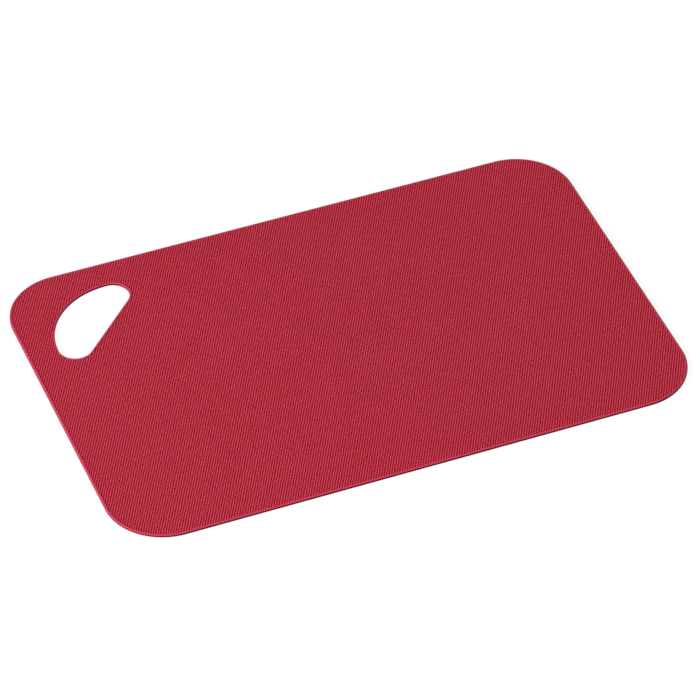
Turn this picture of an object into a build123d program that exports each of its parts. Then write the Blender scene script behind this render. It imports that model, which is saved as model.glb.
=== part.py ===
from build123d import *
import os

# A flexible cutting mat: one moulded sheet of soft plastic, with rounded corners, a smooth rim,
# a shallow field that carries the grain, and a grip hole through one corner.
# Sizes are in millimetres. The origin is the middle of the underside, +X runs along the long
# side, +Y runs away from the cook and +Z is up.

# The sheet
sheet_length = 380.0
sheet_width = 250.0
sheet_thickness = 1.7
corner_radius = 38.0
top_edge_radius = 0.25
bottom_edge_radius = 0.15

# The smooth rim round the outline and the hole, and the grained field inside it
rim_width = 1.1
field_depth = 0.35

# The grip hole: a crown facing the corner, two round ends and a straight side across the corner
grip_margin = 20.1
grip_crown_radius = 48.2
grip_end_radius = 11.0

# How far a cutting body runs past the face that it cuts
cut_overrun = 2.0

# Turns, in degrees. The crown is a quarter circle whose ends run along the mat's two edges, and
# each end carries on round to the straight side, which crosses the corner at 45 degrees.
crown_turn = 90.0
end_turn = 135.0
left_facing = 180.0


def sheet_outline(inset):
    """The mat's outline, drawn in by inset all the way round."""
    return RectangleRounded(
        sheet_length - 2 * inset,
        sheet_width - 2 * inset,
        corner_radius - inset,
    )


def grip_outline(growth):
    """The grip hole's outline, grown outwards by growth all the way round.

    The crown's centre lies one crown radius and one margin in from the left and back edges.
    Each end arc touches the crown from inside, so its centre lies on the crown's own radius.
    """
    crown_x = -sheet_length / 2 + grip_margin + grip_crown_radius
    crown_y = sheet_width / 2 - grip_margin - grip_crown_radius
    end_reach = grip_crown_radius - grip_end_radius
    end_radius = grip_end_radius + growth
    with BuildSketch() as outline:
        with BuildLine():
            CenterArc((crown_x, crown_y), grip_crown_radius + growth, crown_turn, crown_turn)
            front_end = CenterArc((crown_x - end_reach, crown_y), end_radius, left_facing, end_turn)
            back_end = CenterArc(
                (crown_x, crown_y + end_reach), end_radius, crown_turn - end_turn, end_turn
            )
            Line(front_end @ 1, back_end @ 0)
        make_face()
    return outline.sketch


def blank_sheet():
    """The sheet with the grip hole through it and its edges still sharp."""
    blank = extrude(sheet_outline(0), sheet_thickness)
    grip_tool = extrude(Pos(0, 0, -cut_overrun) * grip_outline(0), sheet_thickness + 2 * cut_overrun)
    return blank - grip_tool


def with_soft_edges(sheet):
    """The sheet with its top and bottom edges rounded, round the outline and round the hole."""
    top_edges = sheet.faces().sort_by(Axis.Z)[-1].edges()
    softened = fillet(top_edges, top_edge_radius)
    bottom_edges = softened.faces().sort_by(Axis.Z)[0].edges()
    return fillet(bottom_edges, bottom_edge_radius)


def field_tool():
    """The body that lowers the field: everything on top that lies inside the rims."""
    field = sheet_outline(rim_width) - grip_outline(rim_width)
    return extrude(Pos(0, 0, sheet_thickness - field_depth) * field, field_depth + cut_overrun)


def mat_sheet():
    """The whole mat: the soft-edged sheet with its field lowered inside the rim."""
    return with_soft_edges(blank_sheet()) - field_tool()


os.makedirs("parts", exist_ok=True)
mat = mat_sheet()
export_step(mat, "parts/mat_sheet.step")

mat_box = mat.bounding_box()
print("mat_sheet", "solids", len(mat.solids()), "volume", round(mat.volume), "mm3")
print("size", round(mat_box.size.X, 3), round(mat_box.size.Y, 3), round(mat_box.size.Z, 3), "mm")
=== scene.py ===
# %% [markdown]
# # A flexible cutting mat
# The real mat is one moulded sheet of soft red plastic, 380 mm long and less than 2 mm thick. Its
# top carries a fine grain of small knobs and hollows that keeps food from slipping. A smooth rim
# runs round the grain, and one corner has a grip hole. The CAD frame is loaded first, because it
# fixes the size and the place of everything below.

# %% Load the frame
import bpy
import bmesh
import numpy as np
from mathutils import Matrix, Vector


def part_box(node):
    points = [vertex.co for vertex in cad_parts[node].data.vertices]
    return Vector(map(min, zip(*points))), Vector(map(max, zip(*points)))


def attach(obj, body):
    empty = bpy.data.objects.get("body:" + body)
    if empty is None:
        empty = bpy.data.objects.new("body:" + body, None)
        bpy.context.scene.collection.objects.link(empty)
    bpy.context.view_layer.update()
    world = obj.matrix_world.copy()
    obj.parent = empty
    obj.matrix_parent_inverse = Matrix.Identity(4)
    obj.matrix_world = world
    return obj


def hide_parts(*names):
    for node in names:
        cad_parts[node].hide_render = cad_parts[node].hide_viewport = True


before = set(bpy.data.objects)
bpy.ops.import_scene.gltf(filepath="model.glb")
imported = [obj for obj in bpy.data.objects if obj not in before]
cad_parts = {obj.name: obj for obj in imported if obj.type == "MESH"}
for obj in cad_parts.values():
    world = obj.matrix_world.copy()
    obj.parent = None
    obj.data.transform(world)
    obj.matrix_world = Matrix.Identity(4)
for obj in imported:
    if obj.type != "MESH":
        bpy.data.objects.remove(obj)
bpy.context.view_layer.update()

# %% [markdown]
# ## Sizes
# The length, the width and the thickness come from the frame, so they can't drift away from the
# CAD part. The other sizes are the mat's own. They could be written in metres, as Blender wants
# them, but millimetres are easier to read on something this thin, and MM turns them into metres
# when a mesh is made.

# %% Sizes of the mat
MM = 0.001
sheet_low, sheet_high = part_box("mat_sheet")
half_length = (sheet_high.x - sheet_low.x) / 2 / MM
half_width = (sheet_high.y - sheet_low.y) / 2 / MM
thickness = (sheet_high.z - sheet_low.z) / MM

corner_radius = 38.0
grip_margin = 20.1
grip_crown_radius = 48.2
grip_end_radius = 11.0

print("sheet", 2 * half_length, "x", 2 * half_width, "x", thickness, "mm")

# %% [markdown]
# ## The camera
# The photograph was taken from the front left, 42 degrees above the table, with a long lens from
# three metres away. The camera could be placed by hand and turned towards the mat. Here it is
# worked out from an azimuth, an elevation and a distance, because those were fitted to the mat's
# outline in the photograph. The aim moves the picture sideways and up, the lift raises the camera
# by the last fifth of a millimetre, and the roll turns it a little.

# %% Camera
view_azimuth = np.radians(-21.061)
view_elevation = np.radians(42.05)
view_roll = np.radians(-0.5885)
view_distance = 3056.3
aim_across = 2.234
aim_up = -5.696
view_lift = 0.2
sensor_width = 36.0
focal_pixels = 4902.6
picture_pixels = 700.0
far_limit = 100.0


def camera_axes(azimuth, elevation, roll):
    """The camera's right, up and back directions in the mat's frame.

    Back points from the mat to the camera: (sin a cos e, -cos a cos e, sin e). Right is level
    and square to it, up is square to both, and the roll turns right and up about back.
    """
    back = Vector((
        np.sin(azimuth) * np.cos(elevation),
        -np.cos(azimuth) * np.cos(elevation),
        np.sin(elevation),
    ))
    level = Vector((0, 0, 1)).cross(back).normalized()
    upright = back.cross(level)
    right = level * np.cos(roll) + upright * np.sin(roll)
    up = upright * np.cos(roll) - level * np.sin(roll)
    return right, up, back


right, up, back = camera_axes(view_azimuth, view_elevation, view_roll)
camera_data = bpy.data.cameras.new("camera")
camera_data.sensor_width = sensor_width
camera_data.lens = focal_pixels / picture_pixels * sensor_width
camera_data.clip_end = far_limit
camera = bpy.data.objects.new("camera", camera_data)
place = back * view_distance + right * aim_across + up * aim_up + Vector((0, 0, view_lift))
camera.matrix_world = Matrix((right, up, back)).transposed().to_4x4()
camera.location = place * MM
bpy.context.scene.collection.objects.link(camera)
bpy.context.scene.camera = camera
print("camera at", [round(c, 1) for c in place], "mm, lens", round(camera_data.lens, 1), "mm")

# %% [markdown]
# ## Two closed curves
# Everything on the mat follows two curves: its outline and the grip hole. Both are arcs joined by
# straight sides that touch them smoothly. A Blender curve object could draw them. Plain points
# with their outward directions do more, because moving every point along its own direction gives
# a true offset curve, and the edge, the rim and the field all run side by side.

# %% Arcs and straight sides
arc_steps = 48
side_steps = 16
quarter_turn = 90


def arc(centre, radius, start, turn):
    """Points centre + radius (cos a, sin a) and directions (cos a, sin a), a from start on."""
    angle = np.radians(np.linspace(start, start + turn, arc_steps + 1))
    direction = np.stack([np.cos(angle), np.sin(angle)], axis=1)
    return np.asarray(centre) + radius * direction, direction


def side(start, end, direction):
    """Points evenly spaced between start and end, without the two ends, all facing one way."""
    share = np.linspace(0, 1, side_steps + 1)[1:-1, None]
    points = np.asarray(start) * (1 - share) + np.asarray(end) * share
    return points, np.repeat(np.asarray(direction)[None], len(points), axis=0)


def closed_curve(arcs):
    """The arcs in order, with a straight side put in after each."""
    parts = []
    for here, following in zip(arcs, arcs[1:] + arcs[:1]):
        parts += [here, side(here[0][-1], following[0][0], here[1][-1])]
    return [np.concatenate(rows) for rows in zip(*parts)]


def corner_arc(along, across, start):
    """One rounded corner of the mat: a quarter turn about the corner's own centre."""
    centre = (along * (half_length - corner_radius), across * (half_width - corner_radius))
    return arc(centre, corner_radius, start, quarter_turn)


outline_points, outline_directions = closed_curve([
    corner_arc(1, 1, 0),
    corner_arc(-1, 1, quarter_turn),
    corner_arc(-1, -1, 2 * quarter_turn),
    corner_arc(1, -1, 3 * quarter_turn),
])
print("outline points", len(outline_points))

# %% [markdown]
# ## The grip hole
# Fingers or a hook go through this hole. Its crown is a quarter circle that ends parallel to the
# mat's two edges. A smaller arc carries on from each end of the crown, touching it from inside,
# and turns 135 degrees to meet the straight side, which crosses the corner at 45 degrees. A curve
# drawn by eye would come close, but arcs that touch are how such a tool is really cut.

# %% The grip hole's curve
end_turn = 135
left_facing = 180

crown_centre = np.array([
    -half_length + grip_margin + grip_crown_radius,
    half_width - grip_margin - grip_crown_radius,
])
end_reach = grip_crown_radius - grip_end_radius
back_end_centre = crown_centre + (0, end_reach)
front_end_centre = crown_centre + (-end_reach, 0)
across_corner = np.array([1.0, 1.0]) / np.sqrt(2)
towards_middle = np.array([1.0, -1.0]) / np.sqrt(2)

crown = arc(crown_centre, grip_crown_radius, left_facing - quarter_turn, quarter_turn)
front_end = arc(front_end_centre, grip_end_radius, left_facing, end_turn)
back_end = arc(back_end_centre, grip_end_radius, quarter_turn - end_turn, end_turn)
chord = side(front_end[0][-1], back_end[0][0], towards_middle)
crown_inside = [rows[1:] for rows in crown]
front_end_inside = [rows[1:] for rows in front_end]
grip_points, grip_directions = [
    np.concatenate(rows) for rows in zip(crown_inside, front_end_inside, chord, back_end)
]
grip_middle = (crown[0][arc_steps // 2] + chord[0].mean(axis=0)) / 2
print("grip hole", np.ptp(grip_points @ across_corner), "x", np.ptp(grip_points @ towards_middle))

# %% [markdown]
# ## The sheet as one closed surface
# The sheet could be a block with the hole cut out by a Boolean and its edges bevelled, but that
# leaves long thin faces that shade badly. A sheet with one hole is a ring, so its whole skin can
# be a grid that closes in both directions. One direction goes round the outline. The other starts
# under the field, goes over the rim, down the edge, back along the underside, up the hole's wall
# and over its rim. For that each point of the outline needs a partner on the hole: both curves
# are read at the same angles about the middle of the hole.

# %% Matching the two curves
angle_digits = 6


def angle_about_grip(points):
    """Each point's angle about the middle of the grip hole."""
    offset = points - grip_middle
    return np.arctan2(offset[:, 1], offset[:, 0])


def read_curve(points, directions, angles):
    """Points and directions of a closed curve at the given angles, by straight interpolation."""
    own = angle_about_grip(points)
    columns = (*points.T, *directions.T)
    read = [np.interp(angles, own, column, period=2 * np.pi) for column in columns]
    place, facing = np.stack(read[:2], axis=1), np.stack(read[2:], axis=1)
    return place, facing / np.linalg.norm(facing, axis=1, keepdims=True)


angles = np.unique(np.concatenate([
    angle_about_grip(outline_points), angle_about_grip(grip_points)
]).round(angle_digits))
outer_place, outer_facing = read_curve(outline_points, outline_directions, angles)
inner_place, inner_facing = read_curve(grip_points, grip_directions, angles)
print("columns round the sheet", len(angles))

# %% [markdown]
# ## The rim and the edge
# The mould leaves a smooth rim round the grain. It falls away a little towards the edge, which is
# why it catches the light on the left and on the front and nowhere else, and small roundings
# soften the edge above and below. A bevel modifier could round the edge but couldn't let the rim
# fall, so the cross-section is written as pairs: how far in from the edge, and how high. The flat
# underside gets a second row close to the rounding, so that smooth shading stays inside the
# rounding and the flat stays flat.

# %% The edge's cross-section
rim_width = 1.1
rim_fall = 0.15
top_edge_radius = 0.3
bottom_edge_radius = 0.1
seat_depth = 0.75
rim_steps = 4
round_steps = 5
guard_width = 0.25


def rim_profile():
    """The rim's top: its height falls with the square of the way out to the edge."""
    share = np.linspace(0, 1, rim_steps + 1)
    inset = rim_width - share * (rim_width - top_edge_radius)
    return np.stack([inset, thickness - rim_fall * share**2], axis=1)


def edge_profile():
    """Rows of (inset from the edge, height) from the field's seat over the rim to the underside.

    Each rounding is a quarter circle: radius times one minus the sine or the cosine of the turn.
    """
    turn = np.linspace(0, np.pi / 2, round_steps + 1)
    rise, fall = 1 - np.sin(turn), 1 - np.cos(turn)
    top = np.stack([top_edge_radius * rise, thickness - rim_fall - top_edge_radius * fall], axis=1)
    bottom = bottom_edge_radius * np.stack([fall, rise], axis=1)
    seat = [(rim_width, thickness - seat_depth)]
    underside = [(bottom_edge_radius + guard_width, 0)]
    return np.concatenate([seat, rim_profile(), top[1:], bottom, underside])


profile = edge_profile()
print("rows across one edge", len(profile))

# %% [markdown]
# ## Making a mesh from arrays
# A mesh could be built one vertex at a time, but the grain has half a million of them. Blender
# takes whole arrays through foreach_set, which needs only a moment. Every piece below goes
# through this helper.

# %% Mesh helper
def new_piece(name, points, faces):
    """A mesh object from points in millimetres and faces given as rows of corner numbers."""
    mesh = bpy.data.meshes.new(name)
    mesh.vertices.add(len(points))
    mesh.vertices.foreach_set("co", (points * MM).astype(np.float32).ravel())
    mesh.loops.add(faces.size)
    mesh.loops.foreach_set("vertex_index", faces.astype(np.int32).ravel())
    mesh.polygons.add(len(faces))
    starts = np.arange(0, faces.size, faces.shape[1], dtype=np.int32)
    mesh.polygons.foreach_set("loop_start", starts)
    mesh.polygons.foreach_set("use_smooth", np.ones(len(faces), dtype=bool))
    mesh.update(calc_edges=True)
    piece = bpy.data.objects.new(name, mesh)
    bpy.context.scene.collection.objects.link(piece)
    return piece


# %% [markdown]
# ## The body of the sheet
# The outer rows run from the field's seat over the rim to the underside, and the inner rows run
# back from the underside up the hole's wall to the seat. The last row then meets the first across
# the seat, a flat floor under the grain, so the ring closes without a seam.

# %% The sheet's body
sharp_angle = 40.0


def ring_rows(place, facing, insets, heights):
    """One ring of points for each inset and height: place moved by inset against facing."""
    flat = place[None] - insets[:, None, None] * facing[None]
    level = np.broadcast_to(heights[:, None, None], flat.shape[:2] + (1,))
    return np.concatenate([flat, level], axis=2)


def closed_grid_faces(rows, columns):
    """The four corner numbers of each face of a grid whose last row and column meet the first."""
    number = np.arange(rows * columns).reshape(rows, columns)
    below = np.roll(number, -1, axis=0)
    faces = [number, below, np.roll(below, -1, axis=1), np.roll(number, -1, axis=1)]
    return np.stack(faces, axis=-1).reshape(-1, 4)


outer_rows = ring_rows(outer_place, outer_facing, profile[:, 0], profile[:, 1])
inner_rows = ring_rows(inner_place, inner_facing, -profile[::-1, 0], profile[::-1, 1])
body_rows = np.concatenate([outer_rows, inner_rows])
body_faces = closed_grid_faces(*body_rows.shape[:2])
mat_body = new_piece("mat_body", body_rows.reshape(-1, 3), body_faces)
mat_body.data.set_sharp_from_angle(angle=np.radians(sharp_angle))
print("mat_body faces", len(body_faces))

# %% [markdown]
# ## How far inside the field a point lies
# The grain stops at the rim, so each point has to know how far it is from both rims. A search for
# the nearest curve point could tell, but it is slow and steps a little. The distances to a rounded
# rectangle and to the grip hole both have short exact formulas: shrink the shape by its rounding,
# measure to what is left, and take the rounding away again.

# %% Distances to the two rims
def outside_outline(x, y):
    """Signed distance from the mat's outline, positive outside."""
    away_x = np.abs(x) - (half_length - corner_radius)
    away_y = np.abs(y) - (half_width - corner_radius)
    beyond = np.hypot(np.maximum(away_x, 0), np.maximum(away_y, 0))
    return beyond + np.minimum(np.maximum(away_x, away_y), 0) - corner_radius


def outside_grip(x, y):
    """Signed distance from the grip hole, positive outside it.

    Shrunk by its end radius, the hole is a circle's segment. A point is nearest to the segment's
    chord, to its arc or to one of its two ends.
    """
    from_crown = np.hypot(x - crown_centre[0], y - crown_centre[1]) - end_reach
    middle = (front_end_centre + back_end_centre) / 2
    past_chord = (x - middle[0]) * towards_middle[0] + (y - middle[1]) * towards_middle[1]
    along_chord = (x - middle[0]) * across_corner[0] + (y - middle[1]) * across_corner[1]
    half_chord = np.linalg.norm(back_end_centre - front_end_centre) / 2
    to_back_end = np.hypot(x - back_end_centre[0], y - back_end_centre[1])
    to_front_end = np.hypot(x - front_end_centre[0], y - front_end_centre[1])
    to_end = np.minimum(to_back_end, to_front_end)
    in_crown = (x <= crown_centre[0]) & (y >= crown_centre[1]) & (past_chord <= 0)
    by_chord = (past_chord > 0) & (np.abs(along_chord) <= half_chord)
    to_arc = np.maximum(from_crown, past_chord)
    return np.where(by_chord, past_chord, np.where(in_crown, to_arc, to_end)) - grip_end_radius


def depth_in_field(points):
    """How far points lie inside the grained field, negative on the rims and beyond."""
    x, y = points[..., 0], points[..., 1]
    return np.minimum(-outside_outline(x, y), outside_grip(x, y)) - rim_width


print("field depth at the centre", depth_in_field(np.zeros((1, 2))))

# %% [markdown]
# ## The grain
# The grain is a fine pattern of small knobs and hollows in slanting rows, about a millimetre and
# a half apart. In the photograph each knob is only two pixels wide, and the grain shows as
# slanting threads of light and shade. A bump map could fake it, but the real knobs throw shadows
# on each other and thicken the sheet, so here they are geometry. A regular pattern is a sum of a
# few waves: the first makes slanting ribs, and the other two break the ribs up into knobs. All
# three repeat on one lattice, whose pitches were measured from the threads in the photograph.

# %% The three waves of the grain
pitch_along = 1.6945
pitch_across = 1.5799
wave_heights = np.array([0.142, 0.072, -0.155])
wave_turns = 2 * np.pi * np.array([
    (1 / pitch_along, -0.5 / pitch_across),
    (1 / pitch_along, 0.5 / pitch_across),
    (0, 1 / pitch_across),
])


def wave_sum(points):
    """Minus the sum of the three waves, each its own height times the cosine of its phase."""
    return -np.cos(points @ wave_turns.T) @ wave_heights


def wave_slope(points):
    """The slope of that sum along x and y: each height times the sine times the wave's turns."""
    return (np.sin(points @ wave_turns.T) * wave_heights) @ wave_turns


# %% [markdown]
# ## A grid in step with the pattern
# The grain could be a subdivided plane with a displace modifier, but its points would fall on
# other places of each knob and beat with the pattern. Four steps to each pitch put them on the
# same places of every knob, which keeps the grain even with only half a million points. The
# waves' exact slope then gives the normals that so coarse a grid can't. The grain's highest
# points lie level with the rim.

# %% The grid of the grain
steps_per_pitch = 4
step_along = pitch_along / steps_per_pitch
step_across = pitch_across / steps_per_pitch
columns_each_way = int(half_length / step_along) + 1
rows_each_way = int(half_width / step_across) + 1

grid_x = np.arange(-columns_each_way, columns_each_way + 1) * step_along
grid_y = np.arange(-rows_each_way, rows_each_way + 1) * step_across
grid_points = np.stack(np.meshgrid(grid_x, grid_y), axis=-1)
grid_heights = wave_sum(grid_points)
grain_depth = np.ptp(grid_heights)
grid_heights -= grid_heights.max()
print("grid", grid_points.shape[:2], "grain depth", round(grain_depth, 3), "mm")

# %% [markdown]
# ## Trimming the grain to the rim
# On the real mat the grain runs up to the rim and stops. A Boolean could cut it there, but would
# leave slivers along the whole rim. Instead a point just past the rim is moved back to it,
# straight along its distance, and raised level with it. A face whose corners are all past the rim
# has nothing left and goes.

# %% Trim to the rim
slope_step = 0.01
passes = 2


def pulled_to_field(points):
    """Points past the rim moved onto it, in a few passes along the slope of the distance."""
    moved = points.copy()
    for _ in range(passes):
        depth = depth_in_field(moved)
        slope = np.stack([
            depth_in_field(moved + (slope_step, 0)) - depth_in_field(moved - (slope_step, 0)),
            depth_in_field(moved + (0, slope_step)) - depth_in_field(moved - (0, slope_step)),
        ], axis=-1) / (2 * slope_step)
        moved -= np.minimum(depth, 0)[:, None] * slope
    return moved


start_depth = depth_in_field(grid_points)
past_rim = start_depth <= 0
near_rim = past_rim & (start_depth > -2 * pitch_along)
grid_points[near_rim] = pulled_to_field(grid_points[near_rim])
grid_heights[past_rim] = 0
print("points moved to the rim", int(near_rim.sum()))

# %% [markdown]
# ## Faces and normals of the grain
# Each face joins a point to its right, upper right and upper neighbours. Smooth shading could
# take its normals from the faces, which would blur the knobs, so they come from the waves' slope.
# A straight blend between points so far apart still flattens the waves, and the real knobs are
# steeper on their flanks than a plain wave, so a gain makes up for both.

# %% Faces and normals
normal_gain = 1.7
grid_number = np.arange(grid_heights.size).reshape(grid_heights.shape)
grid_faces = np.stack([
    grid_number[:-1, :-1], grid_number[:-1, 1:], grid_number[1:, 1:], grid_number[1:, :-1]
], axis=-1)
in_field = ~past_rim.ravel()[grid_faces].all(axis=-1)


def grain_normals(points, on_rim):
    """Upward normals of the grain from its slope, and straight up on the rim."""
    slope = normal_gain * wave_slope(points) * ~on_rim[..., None]
    upward = np.concatenate([-slope, np.ones_like(slope[..., :1])], axis=-1)
    return upward / np.linalg.norm(upward, axis=-1, keepdims=True)


all_points = np.concatenate([grid_points, thickness + grid_heights[..., None]], axis=-1)
all_points = all_points.reshape(-1, 3)
all_normals = grain_normals(grid_points, past_rim).reshape(-1, 3)
print("grain faces", int(in_field.sum()))

# %% [markdown]
# ## Closing a piece of grain
# The grained sheet is solid plastic, so its top alone would be a skin with nothing below it. A
# solidify modifier could thicken it, but would copy the knobs underneath. Here the open edge is
# drawn straight down to the seat and filled with one flat face, which makes a closed slab.

# %% Closing a slab
def close_below(piece, seat):
    """Draws the open edge of a slab's top down to the seat and fills it with one face."""
    work = bmesh.new()
    work.from_mesh(piece.data)
    rim = [edge for edge in work.edges if edge.is_boundary]
    drawn = bmesh.ops.extrude_edge_only(work, edges=rim)["geom"]
    for vertex in [item for item in drawn if isinstance(item, bmesh.types.BMVert)]:
        vertex.co.z = seat * MM
    lower = [item for item in drawn if isinstance(item, bmesh.types.BMEdge) and item.is_boundary]
    bmesh.ops.edgeloop_fill(work, edges=lower)
    bmesh.ops.recalc_face_normals(work, faces=work.faces)
    work.to_mesh(piece.data)
    work.free()


def set_top_normals(piece, normals):
    """Sets the worked-out normals on the first faces, and flat ones on the walls and the base."""
    mesh = piece.data
    totals = np.empty(len(mesh.polygons), dtype=np.int32)
    mesh.polygons.foreach_get("loop_total", totals)
    face_normals = np.empty(len(mesh.polygons) * 3, dtype=np.float32)
    mesh.polygons.foreach_get("normal", face_normals)
    corner_normals = np.repeat(face_normals.reshape(-1, 3), totals, axis=0)
    corner_normals[:len(normals)] = normals
    mesh.normals_split_custom_set(corner_normals)


# %% [markdown]
# ## The tiles
# The real field is one surface. One mesh of it would be too heavy, so it is made as eight slabs
# that meet along lines of the grid. One of the cuts runs through the grip hole, so that no slab
# has a hole inside it and each has a single edge to fill. Where two slabs meet they have the same
# points and the same normals, so no line shows.

# %% The tiles of the grain
column_splits = np.array([-144.1, -65.0, 62.5])
row_splits = np.array([0.0])


def make_tile(name, chosen):
    """One slab of grain from the chosen faces."""
    used, faces = np.unique(chosen, return_inverse=True)
    piece = new_piece(name, all_points[used], faces.reshape(chosen.shape))
    close_below(piece, thickness - seat_depth)
    set_top_normals(piece, all_normals[chosen.ravel()])
    return piece


tile_across = np.digitize(grid_y[:-1], row_splits)
tile_along = np.digitize(grid_x[:-1], column_splits)
tile_number = tile_across[:, None] * (len(column_splits) + 1) + tile_along[None]
grain_tiles = []
for number in range(tile_number.max() + 1):
    chosen = grid_faces[(tile_number == number) & in_field]
    grain_tiles.append(make_tile(f"grain_{number + 1}", chosen))
    print(grain_tiles[-1].name, "faces", len(grain_tiles[-1].data.polygons))

# %% [markdown]
# ## Shader helpers
# Nodes could be added and linked in a line each. With these two helpers one line makes a node,
# sets its values and links it, and the materials below read more like a recipe.

# %% Shader helpers
def add_node(tree, kind, links=(), **values):
    """A new node with the named inputs set to values and linked from the given sockets."""
    node = tree.nodes.new(kind)
    for name, value in values.items():
        node.inputs[name].default_value = value
    for name, socket in dict(links).items():
        tree.links.new(socket, node.inputs[name])
    return node


def add_math(tree, operation, *terms):
    """The output of a Math node whose inputs are the terms, each a number or a socket."""
    node = tree.nodes.new("ShaderNodeMath")
    node.operation = operation
    for socket, term in zip(node.inputs, terms):
        if isinstance(term, bpy.types.NodeSocket):
            tree.links.new(term, socket)
        else:
            socket.default_value = term
    return node.outputs["Value"]


# %% [markdown]
# ## The skin of the plastic
# A moulded plastic is never quite smooth or quite even. Its skin has a grit as fine as dust, which
# makes it matt, and its colour drifts by a few parts in a hundred from place to place. Each
# material could have its own noise, but the rim and the grain are one plastic, so the skin is a
# node group, built once. It puts out a height for a Bump node and a mask for the colour. Noise on
# Object coordinates stays fixed to the sheet.

# %% Skin group
def add_socket(group, name, in_out, kind, value=None):
    """A named socket on a node group, with its starting value."""
    socket = group.interface.new_socket(name=name, in_out=in_out, socket_type=kind)
    if value is not None:
        socket.default_value = value


def skin_group():
    """Fine noise for the grit's height and broad noise for the drift of the colour."""
    group = bpy.data.node_groups.new("moulded_skin", "ShaderNodeTree")
    add_socket(group, "Grit Scale", "INPUT", "NodeSocketFloat", 3000.0)
    add_socket(group, "Drift Scale", "INPUT", "NodeSocketFloat", 14.0)
    add_socket(group, "Height", "OUTPUT", "NodeSocketFloat")
    add_socket(group, "Drift", "OUTPUT", "NodeSocketFloat")
    given = group.nodes.new("NodeGroupInput")
    result = group.nodes.new("NodeGroupOutput")
    where = group.nodes.new("ShaderNodeTexCoord").outputs["Object"]
    grit = add_node(
        group, "ShaderNodeTexNoise", {"Vector": where, "Scale": given.outputs["Grit Scale"]}
    )
    drift = add_node(
        group, "ShaderNodeTexNoise", {"Vector": where, "Scale": given.outputs["Drift Scale"]}
    )
    group.links.new(grit.outputs["Fac"], result.inputs["Height"])
    group.links.new(drift.outputs["Fac"], result.inputs["Drift"])
    return group


moulded_skin = skin_group()
print("group", moulded_skin.name, "with", len(moulded_skin.nodes), "nodes")

# %% [markdown]
# ## One plastic in two materials, with painted light and shade
# The plastic is one red all through. On the grain the knobs' tops are painted pale, a painted
# highlight, and the hollows a deep red, a painted shade, so the colour runs with the height above
# the hollows, and a power keeps the palest part near the tops. On the smooth rim the level faces
# are painted pale and pink, a painted sheen, and the upright walls below it a deep red, a painted
# shade, so there the colour runs with the way that a face looks. Each material mixes its two
# colours by its own mask.

# %% Plastic
bump_strength = 0.1
grit_height = 0.02
drift_span = 0.2
tone_power = 1.5


def plastic(name, dark, pale, roughness, gloss, mask_maker):
    """A red moulded plastic whose colour is painted light and shade: dark to pale by its own mask.
    """
    material = bpy.data.materials.new(name)
    material.use_nodes = True
    tree = material.node_tree
    shader = tree.nodes["Principled BSDF"]
    shader.inputs["Roughness"].default_value = roughness
    shader.inputs["Specular IOR Level"].default_value = gloss
    skin = tree.nodes.new("ShaderNodeGroup")
    skin.node_tree = moulded_skin
    colour = tree.nodes.new("ShaderNodeMix")
    colour.data_type = "RGBA"
    colour.inputs["A"].default_value = dark
    colour.inputs["B"].default_value = pale
    tree.links.new(mask_maker(tree, skin.outputs["Drift"]), colour.inputs["Factor"])
    bump = add_node(
        tree, "ShaderNodeBump", {"Height": skin.outputs["Height"]},
        Strength=bump_strength, Distance=grit_height * MM,
    )
    tree.links.new(colour.outputs["Result"], shader.inputs["Base Color"])
    tree.links.new(bump.outputs["Normal"], shader.inputs["Normal"])
    return material


def drifting(tree, mask, drift):
    """The mask times 0.9 to 1.1, by the skin's drift."""
    factor = add_math(tree, "MULTIPLY_ADD", drift, drift_span, 1 - drift_span / 2)
    return add_math(tree, "MULTIPLY", mask, factor)


# Painted shade on the rim's upright walls and a painted sheen on its level faces.
def wall_shade_and_rim_sheen_mask(tree, drift):
    """0 on upright walls and 1 from half way to level on: twice the normal's size in z."""
    facing = add_node(tree, "ShaderNodeTexCoord").outputs["Normal"]
    level = add_node(tree, "ShaderNodeSeparateXYZ", {"Vector": facing}).outputs["Z"]
    doubled = add_math(tree, "MULTIPLY", add_math(tree, "ABSOLUTE", level), 2)
    return drifting(tree, add_math(tree, "MINIMUM", doubled, 1), drift)


# Painted shade in the grain's hollows and painted highlights on the knobs' tops.
def hollow_shade_and_top_highlight_mask(tree, drift):
    """The height above the deepest hollow as a share of the grain's depth, to a power."""
    where = add_node(tree, "ShaderNodeTexCoord").outputs["Object"]
    height = add_node(tree, "ShaderNodeSeparateXYZ", {"Vector": where}).outputs["Z"]
    above = add_math(tree, "SUBTRACT", height, (thickness - grain_depth) * MM)
    share = add_math(tree, "DIVIDE", above, grain_depth * MM)
    return drifting(tree, add_math(tree, "POWER", share, tone_power), drift)


# Rim: the dark colour is painted shade on the walls, the pale pink one a painted sheen on the top.
rim_plastic = plastic(
    "rim_plastic", dark=(0.17, 0, 0.003, 1), pale=(0.52, 0.043, 0.094, 1),
    roughness=0.4, gloss=0.05, mask_maker=wall_shade_and_rim_sheen_mask,
)
# Grain: the dark colour is painted shade in the hollows, the pale one painted highlights on the
# tops.
grain_plastic = plastic(
    "grain_plastic", dark=(0.33, 0, 0.009, 1), pale=(0.605, 0.094, 0.155, 1),
    roughness=0.5, gloss=0.1, mask_maker=hollow_shade_and_top_highlight_mask,
)
mat_body.data.materials.append(rim_plastic)
for tile in grain_tiles:
    tile.data.materials.append(grain_plastic)
print("materials", rim_plastic.name, grain_plastic.name)

# %% [markdown]
# ## Rays that see the background
# The photograph shows the mat on pure white. A white floor in strong light would do that too, but
# it throws so much light back up that the mat's dark edges go pale. So the floor and the world
# are bright only for rays that see them directly. The Light Path node knows which rays those are:
# the camera's, and those that reach the background from a glossy surface or through a clear one.

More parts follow.
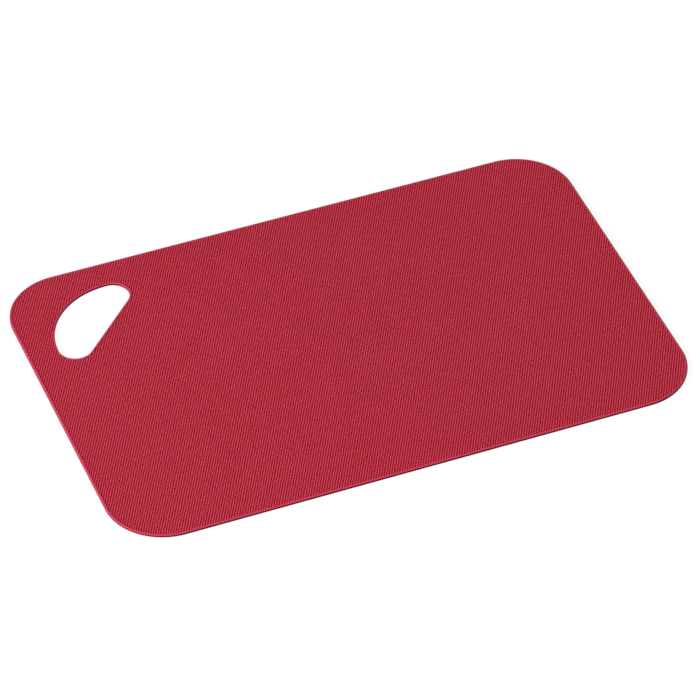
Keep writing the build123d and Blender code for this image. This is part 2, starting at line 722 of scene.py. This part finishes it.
# %% Rays that see the background
def seen_directly(tree):
    """1 for rays from the camera, from a mirror-like surface or through glass, and 0 for others."""
    path = tree.nodes.new("ShaderNodeLightPath")
    either = add_math(tree, "MAXIMUM", path.outputs["Is Camera Ray"], path.outputs["Is Glossy Ray"])
    return add_math(tree, "MAXIMUM", either, path.outputs["Is Transmission Ray"])


# %% [markdown]
# ## The floor
# The mat lies flat on a plain pale table. A real table top could be modelled, but the photograph
# shows none, so this is one large face. It reflects a little light and glows for the rays that
# see it. What it reflects is missing in the mat's shadow, so a faint shadow stays. It lies a hair
# below the mat, because two faces in one place flicker, and is clear from below, so that the
# mat's plain underside can be looked at too.

# %% Floor
floor_half = 6.0
floor_gap = 0.05
floor_tone = 0.15
floor_glow = 0.88

floor_corners = np.array([(-1, -1), (1, -1), (1, 1), (-1, 1)]) * floor_half / MM
floor_points = np.column_stack([floor_corners, np.full(4, -floor_gap)])
floor = new_piece("floor", floor_points, np.array([[0, 1, 2, 3]]))
floor_material = bpy.data.materials.new("floor")
floor_material.use_nodes = True
tree = floor_material.node_tree
tree.nodes.clear()
diffuse = add_node(tree, "ShaderNodeBsdfDiffuse", Color=(floor_tone, floor_tone, floor_tone, 1))
glow_level = add_math(tree, "MULTIPLY", seen_directly(tree), floor_glow)
glow = add_node(tree, "ShaderNodeEmission", {"Strength": glow_level})
both = tree.nodes.new("ShaderNodeAddShader")
tree.links.new(diffuse.outputs[0], both.inputs[0])
tree.links.new(glow.outputs[0], both.inputs[1])
clear = add_node(tree, "ShaderNodeBsdfTransparent")
from_below = add_node(tree, "ShaderNodeNewGeometry").outputs["Backfacing"]
sided = add_node(tree, "ShaderNodeMixShader", {"Fac": from_below})
tree.links.new(both.outputs[0], sided.inputs[1])
tree.links.new(clear.outputs[0], sided.inputs[2])
out = tree.nodes.new("ShaderNodeOutputMaterial")
tree.links.new(sided.outputs[0], out.inputs["Surface"])
floor.data.materials.append(floor_material)
print("floor", 2 * floor_half, "m wide")

# %% [markdown]
# ## The world
# A bright world all round would light the mat evenly and hide its grain. This one is bright only
# where it is seen directly, and gives the mat hardly any light. It is as pale as the far edge of
# the floor, so that a camera held low sees no horizon.

# %% World
world_light = 0.064
world_glow = 0.9

world = bpy.data.worlds.new("world")
bpy.context.scene.world = world
world.use_nodes = True
tree = world.node_tree
tree.nodes.clear()
level = add_node(tree, "ShaderNodeMapRange", {"Value": seen_directly(tree)})
level.inputs["To Min"].default_value = world_light
level.inputs["To Max"].default_value = world_glow
sky = add_node(
    tree, "ShaderNodeBackground", {"Strength": level.outputs["Result"]}, Color=(1, 1, 1, 1)
)
out = tree.nodes.new("ShaderNodeOutputWorld")
tree.links.new(sky.outputs[0], out.inputs["Surface"])
print("world light", world_light, "and glow", world_glow)

# %% [markdown]
# ## Two softboxes
# A grain shows only where light rakes across it. A sun lamp could do that, but its hard shadows
# are darker than those in the photograph. A softbox low on the left draws the ribs and lights the
# left edge. A second one, half way up in the front, fills the shadows and lights the rim along
# the front. Both stand well off, so that the mat is as bright on the right as on the left.

# %% Softboxes
lamp_distance = 4.5


def softbox(name, azimuth, elevation, size, level):
    """A square lamp facing the mat, which lights a flat white face there to the given level.

    The lamp's power for that is the level times pi squared times the distance squared, over the
    sine of the elevation.
    """
    lamp = bpy.data.lights.new(name, "AREA")
    lamp.shape = "SQUARE"
    lamp.size = size
    facing = camera_axes(np.radians(azimuth), np.radians(elevation), 0)[2]
    lamp.energy = level * np.pi**2 * lamp_distance**2 / facing.z
    thing = bpy.data.objects.new(name, lamp)
    thing.location = facing * lamp_distance
    thing.rotation_euler = facing.to_track_quat("Z", "Y").to_euler()
    bpy.context.scene.collection.objects.link(thing)
    print(name, "softbox", round(lamp.energy, 1), "W")


softbox("left", azimuth=-82, elevation=20, size=1.6, level=0.55)
softbox("front", azimuth=-32, elevation=56, size=2.7, level=0.43)

# %% [markdown]
# ## Showing it plainly
# A filmic view would soften the red, and the Standard view shows each colour as it is written.
# Denoising could clean the picture, but it takes a grain this fine for noise and wipes it away,
# so it is off.

# %% View
bpy.context.scene.view_settings.view_transform = "Standard"
bpy.context.scene.cycles.use_denoising = False
print("view", bpy.context.scene.view_settings.view_transform)

# %% [markdown]
# ## Joining the CAD body
# Every piece rides on the CAD's one body. Together they stand for the CAD sheet, which is
# hidden: both could be shown, but their faces would flicker through each other.

# %% Join the body
for piece in [mat_body] + grain_tiles:
    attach(piece, "root")
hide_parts("mat_sheet")
